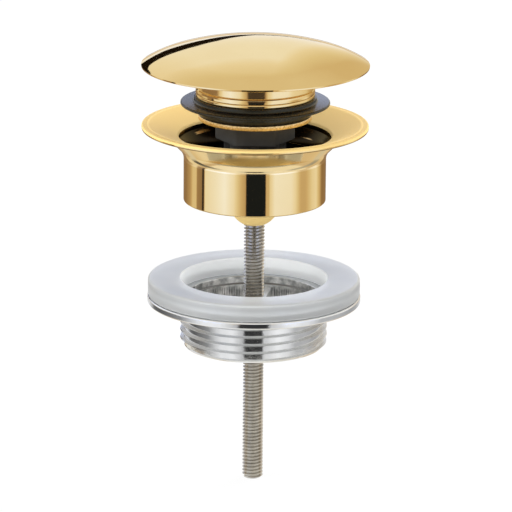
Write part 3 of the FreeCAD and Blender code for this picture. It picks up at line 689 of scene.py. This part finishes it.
def fill_end(bm, z):
    """Closes the flat face between the open edges of the bmesh at height z in millimetres."""
    rim = [
        e for e in bm.edges
        if e.is_boundary and all(abs(v.co.z - z * MM) < 1e-6 for v in e.verts)
    ]
    bmesh.ops.triangle_fill(bm, use_beauty=True, use_dissolve=False, edges=rim, normal=(0, 0, 1))


def gather(bm, other):
    """Adds the other bmesh, which is used up, to the first one."""
    mesh = bpy.data.meshes.new("work")
    other.to_mesh(mesh)
    other.free()
    bm.from_mesh(mesh)
    bpy.data.meshes.remove(mesh)


steel = surface(
    "screw_steel", ((0.74, 0.71, 0.66), (0.86, 0.83, 0.77)), 1.0, (0.18, 0.28), grain_mm=0.15,
    cloud_mm=3, bump=0.08,
)
# Painted shade: the thread's roots are painted near black for the shade in its grooves.
painted_root_shade = ramp(
    steel.node_tree, radius_and_height(steel.node_tree)[0], ((0.00268, 1), (0.00293, 0))
)
laid_over(steel, "Base Color", painted_root_shade, (0.03, 0.026, 0.022, 1))
SCREW_LOW, SCREW_HEAD, HEAD_TOP, HEAD_R = -103.2, -22.4, -19.2, 5.0
rod = threaded_rod(
    ((2.95, 0.0), (2.95, 0.12), (2.28, 0.45), (2.28, 0.63)), 1.0, SCREW_LOW, SCREW_HEAD, 32, 2.4
)
fill_end(rod, SCREW_LOW)
head = bmesh.new()
rounded_chain(
    head,
    ((3.4, SCREW_HEAD), (HEAD_R, SCREW_HEAD, 0.2), (HEAD_R, HEAD_TOP, 0.9), (0, HEAD_TOP)),
    close=False,
)
turn_round(head, 96)
gather(rod, head)
fill_end(rod, SCREW_HEAD)
bmesh.ops.recalc_face_normals(rod, faces=rod.faces)
slot = bar(-6, 6, 1.6, HEAD_TOP - 1.8, HEAD_TOP + 1, 0)
rod = cut_or_join(rod, slot, "DIFFERENCE")
piece("centre_screw_threaded", rod, steel, "screw", "centre_screw", sharp_deg=50)


# Outlet: brass, turned from a casting, chrome plated, with three ribs inside that hold the
# hub. The trap's nut goes on the coarse thread. It has the standard's pitch and outside size,
# and its ridges are slimmer and shallower than the standard's.
chrome = surface(
    "polished_chrome", ((0.76, 0.77, 0.78), (0.82, 0.83, 0.84)), 1.0, (0.05, 0.12), grain_mm=0.8,
    cloud_mm=5, bump=0.08, lathe_mm=0.2, lathe_bump=0.05,
)
tree = chrome.node_tree
cast = math(tree, "MULTIPLY", zone(tree, 1, 0, 3.2, 18.1), zone(tree, 0, 1, -62.9, 0))
bore = math(tree, "MULTIPLY", zone(tree, 1, 0, 18.1, 19.0), zone(tree, 0, 1, -62.9, 0))
place = node(tree, "ShaderNodeTexCoord")
patches = node(tree, "ShaderNodeTexNoise", Scale=330.0, Detail=4.0)
tree.links.new(place.outputs["Object"], patches.inputs["Vector"])
mottled = ramp(
    tree, patches.outputs["Fac"], ((0.36, (0.4, 0.41, 0.42, 1)), (0.6, (1, 1, 1, 1)))
)
laid_over(chrome, "Base Color", bore, mottled)
laid_over(chrome, "Roughness", bore, (0.32, 0.32, 0.32, 1))
# Painted shade: the bore's step is painted dark so that it shows no highlight.
painted_shade_ledge = math(tree, "MULTIPLY", zone(tree, 1, 0, 18, 18.75), zone(tree, 0, 1, -50.8, -50.4))
seat = math(tree, "MULTIPLY", zone(tree, 1, 0, 18.75, 21), zone(tree, 0, 1, -48.7, -48))
laid_over(chrome, "Base Color", painted_shade_ledge, (0.3, 0.3, 0.3, 1))
laid_over(chrome, "Base Color", seat, (0.5, 0.51, 0.52, 1))
laid_over(chrome, "Roughness", seat, (0.35, 0.35, 0.35, 1))
laid_over(chrome, "Roughness", cast, (0.45, 0.45, 0.45, 1))
laid_over(chrome, "Roughness", zone(tree, 1, 0, 19.84, 20.82), (0.4, 0.4, 0.4, 1))
waves = math(tree, "SINE", math(tree, "MULTIPLY", turns(tree), 2 * pi * 150))
fluted = math(tree, "MULTIPLY", zone(tree, 1, 0, 17, 18.5), zone(tree, 0, 1, -62.5, -51.4))
flutes = node(tree, "ShaderNodeBump", Strength=0.8, Distance=0.15 * MM)
tree.links.new(math(tree, "MULTIPLY", waves, fluted), flutes.inputs["Height"])
skin = tree.nodes["Principled BSDF"].inputs["Normal"]
tree.links.new(skin.links[0].from_socket, flutes.inputs["Normal"])
tree.links.new(flutes.outputs[0], skin)
OUTLET_R, OUTLET_TOP, THREAD_TOP, THREAD_END = 30.35, -48.5, -50.5, -63.3
BORE_R, STEP_R, STEP_Z, RELIEF_R = 18.7, 18.2, -50.6, 19.755
PIPE_PITCH, PIPE_CREST, PIPE_ROOT = 2.309, 20.955, 19.755
pipe = threaded_rod(
    (
        (PIPE_CREST, 0.0), (PIPE_CREST, 0.03), (PIPE_CREST - 0.13, 0.06),
        (PIPE_ROOT + 0.09, 0.165), (PIPE_ROOT, 0.19), (PIPE_ROOT, 0.81),
        (PIPE_ROOT + 0.09, 0.835), (PIPE_CREST - 0.13, 0.94), (PIPE_CREST, 0.97),
    ),
    PIPE_PITCH, THREAD_END, THREAD_TOP - 1.0, 128, RELIEF_R - 0.15,
)
shell = bmesh.new()
rounded_chain(
    shell,
    (
        (RELIEF_R - 0.3, THREAD_TOP - 1.0),
        (RELIEF_R - 0.3, THREAD_TOP, 0.15),
        (OUTLET_R, THREAD_TOP, 0.45),
        (OUTLET_R, OUTLET_TOP, 0.45),
        (BORE_R, OUTLET_TOP, 0.3),
        (BORE_R, STEP_Z, 0.1),
        (STEP_R, STEP_Z, 0.1),
        (STEP_R, THREAD_END),
    ),
    close=False,
)
turn_round(shell, 256)
gather(pipe, shell)
for height in (THREAD_TOP - 1.0, THREAD_END):
    fill_end(pipe, height)
bmesh.ops.recalc_face_normals(pipe, faces=pipe.faces)
OUTLET_HUB_R, OUTLET_HUB_TOP, OUTLET_HUB_END = 5.0, -52.5, -60.5
hub = turned(
    (SCREW_BORE_R, OUTLET_HUB_END),
    (OUTLET_HUB_R, OUTLET_HUB_END, 0.6),
    (OUTLET_HUB_R, OUTLET_HUB_TOP, 0.6),
    (SCREW_BORE_R, OUTLET_HUB_TOP),
    steps=96,
)
for third in range(3):
    rib = bar(4.0, 18.5, 5.0, -59.6, -51.6, 81.5 + 120 * third)
    soften(rib, rib.edges[:], 0.35, 3)
    hub = cut_or_join(hub, rib, "UNION")
pipe = cut_or_join(pipe, hub, "UNION")
piece("outlet_threaded", pipe, chrome, "outlet", "outlet_body", sharp_deg=40)


# Ring gasket: thick soft clear plastic with a frosted skin, moulded with rounded edges. It
# lies loose on the outlet's flange and is pressed against the basin from below.
paint, tree, output = new_material("clear_gasket")
shader = node(
    tree, "ShaderNodeBsdfPrincipled", IOR=1.42, Transmission_Weight=0.5, Specular_IOR_Level=0.4,
    Subsurface_Weight=0.6, Subsurface_Radius=(0.004, 0.004, 0.004), Subsurface_Scale=1.0,
    Emission_Color=(0.92, 0.96, 1.0, 1),
)
place = node(tree, "ShaderNodeTexCoord")
cloud = node(tree, "ShaderNodeTexNoise", Scale=90.0, Detail=3.0)
grain = node(tree, "ShaderNodeTexNoise", Scale=2500.0, Detail=4.0)
for texture in (cloud, grain):
    tree.links.new(place.outputs["Object"], texture.inputs["Vector"])
milky = ramp(
    tree, cloud.outputs["Fac"], ((0.3, (0.735, 0.755, 0.76, 1)), (0.7, (0.805, 0.82, 0.82, 1)))
)
GASKET_R, GASKET_HOLE_R, GASKET_TOP = 30.2, 20.8, -43.5
thick = GASKET_TOP - OUTLET_TOP
height = radius_and_height(tree)[1]
height = math(tree, "MULTIPLY_ADD", height, 1 / (thick * MM), -OUTLET_TOP / thick)
# Painted shade and painted refraction: the outer wall is darker in bands up its height, for its
# shade and for the dark thread that would show through the clear plastic.
depth = ramp(
    tree, height,
    ((0.0, 0.24), (0.12, 0.14), (0.5, 0.14), (0.7, 0.34), (0.86, 0.28), (0.97, 0)),
)
depth = math(tree, "MULTIPLY", depth, zone(tree, 1, 0, 29, 31))
shaded = node(tree, "ShaderNodeVectorMath", operation="SCALE")
tree.links.new(milky, shaded.inputs[0])
tree.links.new(math(tree, "SUBTRACT", 1.0, depth), shaded.inputs["Scale"])
# Painted glow: the wall of the hole gives off a faint cool light, in the emission colour set on
# the shader above, which stands in for light reaching it through the plastic.
painted_glow_inside = math(tree, "MULTIPLY", zone(tree, 1, 0, 20, 21.1), 0.26)
tree.links.new(painted_glow_inside, shader.inputs["Emission Strength"])
frost = ramp(tree, cloud.outputs["Fac"], ((0.3, 0.3), (0.7, 0.36)))
skin = node(tree, "ShaderNodeBump", Strength=0.12, Distance=0.1 * MM)
tree.links.new(shaded.outputs[0], shader.inputs["Base Color"])
tree.links.new(frost, shader.inputs["Roughness"])
tree.links.new(grain.outputs["Fac"], skin.inputs["Height"])
tree.links.new(skin.outputs[0], shader.inputs["Normal"])
tree.links.new(shader.outputs[0], output.inputs[0])
ring = turned(
    (GASKET_HOLE_R, OUTLET_TOP, 0.3),
    (GASKET_R, OUTLET_TOP, 0.8),
    (GASKET_R, GASKET_TOP, 0.8),
    (GASKET_HOLE_R, GASKET_TOP, 0.5),
    segments=8,
)
piece("ring_gasket_frosted", ring, paint, "outlet", "ring_gasket")


# Cartridge core: black acetal, moulded. Its stem plugs into the cup's hub, its fins keep
# the plug straight and its head holds the cam ring.
black_plastic = surface(
    "black_plastic", ((0.054, 0.054, 0.053), (0.072, 0.072, 0.07)), 0.0, (0.32, 0.46),
    grain_mm=0.25, cloud_mm=6, bump=0.1, Specular_IOR_Level=0.5,
)
STEM_R, STEM_END, PLUNGER_BORE_R, SPRING_SEAT = 7.15, -18.9, 5.3, -17.4
CORE_HEAD_R, CHAMBER_R, HEAD_LOW, CORE_TOP, CHAMBER_FLOOR = 8.8, 7.9, -0.6, 6.4, 0.9
core = bmesh.new()
rounded_chain(
    core,
    (
        (0, STEM_END),
        (STEM_R, STEM_END, 0.6),
        (STEM_R, -17.2),
        (STEM_R - 0.95, -17.2),
        (STEM_R - 0.95, -16.0),
        (STEM_R, -16.0),
        (STEM_R, HEAD_LOW),
        (CORE_HEAD_R, HEAD_LOW, 0.2),
        (CORE_HEAD_R, CORE_TOP, 0.25),
        (CHAMBER_R, CORE_TOP, 0.15),
        (CHAMBER_R, CHAMBER_FLOOR),
        (PLUNGER_BORE_R, CHAMBER_FLOOR, 0.2),
        (PLUNGER_BORE_R, SPRING_SEAT),
        (0, SPRING_SEAT),
    ),
    close=False,
    segments=4,
)
turn_round(core, 128)
for quarter in range(4):
    fin = bar(6.2, CORE_HEAD_R, 1.8, -13.4, HEAD_LOW + 0.2, quarter * 90)
    soften(fin, fin.edges[:], 0.2, 2)
    core = cut_or_join(core, fin, "UNION")
piece("cartridge_core_moulded", core, black_plastic, "insert", "cartridge_core")


# Inside the cartridge: the snap-in lid and the cam ring, moulded, two steel pins, the hollow
# plunger with its cam track, the drawn wire spring and the rubber ring in the stem's groove.
def dress(node_name, material):
    """Gives a CAD node that stays its material."""
    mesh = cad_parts[node_name].data
    mesh.materials.clear()
    mesh.materials.append(material)


black_rubber = surface(
    "black_rubber", ((0.006, 0.006, 0.006), (0.01, 0.01, 0.01)), 0.0, (0.22, 0.3),
    grain_mm=0.3, cloud_mm=7, bump=0.06, Specular_IOR_Level=0.47, Specular_Tint=(1, 0.95, 0.66, 1),
)
white_plastic = surface(
    "white_plastic", ((0.78, 0.78, 0.74), (0.84, 0.84, 0.81)), 0.0, (0.3, 0.42), grain_mm=0.3,
    cloud_mm=5, bump=0.06,
)
spring_wire = surface(
    "spring_steel", ((0.52, 0.52, 0.52), (0.62, 0.62, 0.62)), 1.0, (0.22, 0.34), grain_mm=0.1,
    cloud_mm=2, bump=0.08,
)
dress("core_lid", black_plastic)
dress("core_o_ring", black_rubber)
dress("cam_ring", white_plastic)
dress("cam_pins", steel)
dress("plunger", white_plastic)
WIRE_R, COIL_R, COILS, COIL_LOW, COIL_HIGH = 0.35, 2.3, 8, -17.0, 11.25
COIL_STEPS = 40 * COILS
spring = bmesh.new()
bmesh.ops.create_circle(spring, cap_ends=False, segments=16, radius=WIRE_R * MM)
upright = Matrix.Rotation(radians(90), 3, "X")
bmesh.ops.rotate(spring, cent=(0, 0, 0), matrix=upright, verts=spring.verts)
bmesh.ops.translate(spring, vec=(COIL_R * MM, 0, COIL_LOW * MM), verts=spring.verts)
bmesh.ops.spin(
    spring,
    geom=spring.verts[:] + spring.edges[:],
    cent=(0, 0, 0),
    axis=(0, 0, 1),
    dvec=(0, 0, (COIL_HIGH - COIL_LOW) * MM / COIL_STEPS),
    angle=2 * pi * COILS,
    steps=COIL_STEPS,
)
bmesh.ops.holes_fill(spring, edges=[e for e in spring.edges if e.is_boundary], sides=0)
bmesh.ops.recalc_face_normals(spring, faces=spring.faces)
coil = piece("return_spring_wound", spring, spring_wire, "insert", "return_spring")
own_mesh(coil)


# Seal nut: black plastic hexagon on a hollow threaded shank, moulded in one. Its four
# notches pass the core's fins, and it clamps the seal and its rings to the neck.
NUT_LOW, NUT_HIGH, NUT_FLATS, NUT_BORE_R, STEM_HOLE_R = -2.9, 2.9, 19.8, 9.1, 7.45
SHANK_R, SHANK_TOP = 10.3, 17.0
nut = bmesh.new()
bmesh.ops.create_cone(
    nut,
    cap_ends=True,
    segments=6,
    radius1=NUT_FLATS / 2 / cos(pi / 6) * MM,
    radius2=NUT_FLATS / 2 / cos(pi / 6) * MM,
    depth=(NUT_HIGH - NUT_LOW) * MM,
)
spin = Matrix.Rotation(radians(30), 3, "Z")
bmesh.ops.rotate(nut, cent=(0, 0, 0), matrix=spin, verts=nut.verts)
corners = [e for e in nut.edges if abs(e.verts[0].co.z - e.verts[1].co.z) > MM]
soften(nut, corners, 0.75, 2)
soften(nut, [e for e in nut.edges if all(v.co.z < 0 for v in e.verts)], 0.3, 2)
shank = bmesh.new()
rounded_chain(
    shank,
    ((0, 1.5), (SHANK_R, 1.5), (SHANK_R, SHANK_TOP, 0.4), (0, SHANK_TOP)),
    close=False,
)
turn_round(shank, 128)
nut = cut_or_join(nut, shank, "UNION")
bore = bmesh.new()
rounded_chain(
    bore,
    (
        (0, NUT_LOW - 1),
        (STEM_HOLE_R, NUT_LOW - 1),
        (STEM_HOLE_R, HEAD_LOW),
        (NUT_BORE_R, HEAD_LOW),
        (NUT_BORE_R, SHANK_TOP + 1),
        (0, SHANK_TOP + 1),
    ),
    close=False,
)
turn_round(bore, 128)
nut = cut_or_join(nut, bore, "DIFFERENCE")
for quarter in range(2):
    nut = cut_or_join(nut, bar(-9.1, 9.1, 2.4, NUT_LOW - 1, -0.5, quarter * 90), "DIFFERENCE")
piece("seal_nut_moulded", nut, black_plastic, "plug", "seal_nut")


# Seal retainer: thin gold coloured ring with a rough rolled edge, which carries the rubber
# seal on the nut's shoulder.
knurled = surface(
    "knurled_gold", ((0.55, 0.36, 0.14), (0.95, 0.75, 0.42)), 1.0, (0.15, 0.3), grain_mm=0.3,
    cloud_mm=0.35, bump=1.0,
)
STACK_R, RETAINER_R, RETAINER_TOP = 10.35, 16.05, 4.3
ring = turned(
    (STACK_R, NUT_HIGH),
    (RETAINER_R, NUT_HIGH, 0.2),
    (RETAINER_R, RETAINER_TOP, 0.2),
    (STACK_R, RETAINER_TOP),
    steps=360,
    segments=3,
)
piece("seal_retainer_rolled", ring, knurled, "plug", "seal_retainer")


# Lip seal: black rubber, moulded. The thin lip closes on the cup's seat and the bead under
# it stiffens the seal.
BEAD_R, LIP_R, LIP_LOW, SEAL_TOP = 16.3, 21.12, 7.15, 9.5
seal = turned(
    (STACK_R, RETAINER_TOP),
    (BEAD_R, RETAINER_TOP, 0.8),
    (BEAD_R, 6.4, 0.8),
    (15.2, 6.775, 0.3),
    (BEAD_R, LIP_LOW, 0.2),
    (LIP_R, LIP_LOW, 0.36),
    (LIP_R, 7.95, 0.36),
    (17.3, 8.15, 0.5),
    (17.3, 9.3),
    (16.85, SEAL_TOP),
    (STACK_R, SEAL_TOP),
)
piece("lip_seal_moulded", seal, black_rubber, "plug", "lip_seal")


# Washer and neck: brass, turned, polished and gold plated. The neck's ring groove and the
# joint with the washer show as two fine dark lines.
NECK_R, WASHER_TOP = 16.85, 10.6
ring = turned(
    (STACK_R, SEAL_TOP),
    (NECK_R, SEAL_TOP, 0.2),
    (NECK_R, WASHER_TOP, 0.15),
    (STACK_R, WASHER_TOP),
    segments=3,
)
piece("seal_washer_polished", ring, gold, "plug", "seal_washer")
turned_gold = surface(
    "turned_gold", GOLD, 1.0, (0.05, 0.1), grain_mm=0.4, cloud_mm=9, bump=0.02, lathe_mm=0.25,
    lathe_bump=0.03, Specular_Tint=GOLD_EDGE,
)
NECK_BORE_R, NECK_TOP = 15.25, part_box("plug_neck")[1].z / MM
SLEEVE_R, POCKET_TOP, STUD_HOLE_R, PLATE_LOW, PLATE_TOP = 12.25, 16.7, 3.0, 17.7, 19.7
neck = turned(
    (STACK_R, WASHER_TOP),
    (SLEEVE_R, WASHER_TOP, 0.1),
    (SLEEVE_R, POCKET_TOP, 0.3),
    (NECK_BORE_R, POCKET_TOP, 0.3),
    (NECK_BORE_R, WASHER_TOP, 0.1),
    (NECK_R, WASHER_TOP, 0.15),
    (NECK_R, 11.85, 0.06),
    (NECK_R - 0.25, 12.1, 0.05),
    (NECK_R, 12.35, 0.06),
    (NECK_R, NECK_TOP),
    (NECK_BORE_R, NECK_TOP),
    (NECK_BORE_R, PLATE_TOP),
    (STUD_HOLE_R, PLATE_TOP),
    (STUD_HOLE_R, PLATE_LOW),
    (STACK_R, PLATE_LOW),
    segments=4,
)
piece("plug_neck_turned", neck, turned_gold, "plug", "plug_neck")


# Stud and boss: a steel stud screws plunger, neck and cap together. The cap's boss is raw
# turned brass, soldered under the dome.
raw_brass = surface(
    "raw_brass", ((0.66, 0.52, 0.29), (0.76, 0.62, 0.38)), 1.0, (0.25, 0.4), grain_mm=0.3,
    cloud_mm=4, bump=0.05, lathe_mm=0.3, lathe_bump=0.2,
)
dress("cap_stud", steel)
dress("cap_boss", raw_brass)


# Domed cap: brass sheet, spun, polished and gold plated. A flat crown runs into a rounder
# shoulder, and the rim is trimmed and broken.
CAP_R, CAP_RIM, CAP_TRIM, CAP_TOP, SHEET = 32.2, 18.5, 18.0, 25.8, 1.0
CROWN_R, SHOULDER_R = 81.01, 32.41
crown = Vector((0, 0, CAP_TOP - CROWN_R))
ahead = Vector((CAP_R, 0, CAP_RIM)) - crown
between = CROWN_R - SHOULDER_R
along = (between**2 - SHOULDER_R**2 + ahead.length_squared) / (2 * ahead.length)
aside = sqrt(between**2 - along**2)
ahead.normalize()
shoulder = crown + ahead * along + Vector((-ahead.z, 0, ahead.x)) * aside
join_angle = (shoulder - crown).angle(Vector((0, 0, 1)))


def low_angle(radius, z):
    """Angle from straight up at which the shoulder's arc reaches height z."""
    return Vector((0, 1)).angle(Vector((sqrt(radius**2 - (z - shoulder.z) ** 2), z - shoulder.z)))


def swept(bm, vert, centre, angle, steps):
    """Spins a vertex about a centre in the profile's plane and gives the last one."""
    arc = bmesh.ops.spin(
        bm, geom=[vert], cent=centre * MM, axis=(0, 1, 0), angle=angle, steps=steps
    )
    return [v for v in arc["geom_last"] if isinstance(v, bmesh.types.BMVert)][0]


dome = bmesh.new()
outside = dome.verts.new((0, 0, CAP_TOP * MM))
outside = swept(dome, outside, crown, join_angle, 48)
outside = swept(dome, outside, shoulder, low_angle(SHOULDER_R, CAP_RIM) - join_angle, 24)
inside = dome.verts.new((0, 0, (CAP_TOP - SHEET) * MM))
inside = swept(dome, inside, crown, join_angle, 24)
inside = swept(dome, inside, shoulder, low_angle(SHOULDER_R - SHEET, CAP_TRIM) - join_angle, 12)
edge = dome.verts.new(((CAP_R - 0.05) * MM, 0, (CAP_TRIM + 0.12) * MM))
trimmed = dome.verts.new(((CAP_R - 0.2) * MM, 0, CAP_TRIM * MM))
for pair in ((outside, edge), (edge, trimmed), (trimmed, inside)):
    dome.edges.new(pair)
turn_round(dome, 320)
piece("dome_cap_spun", dome, gold, "plug", "dome_cap")
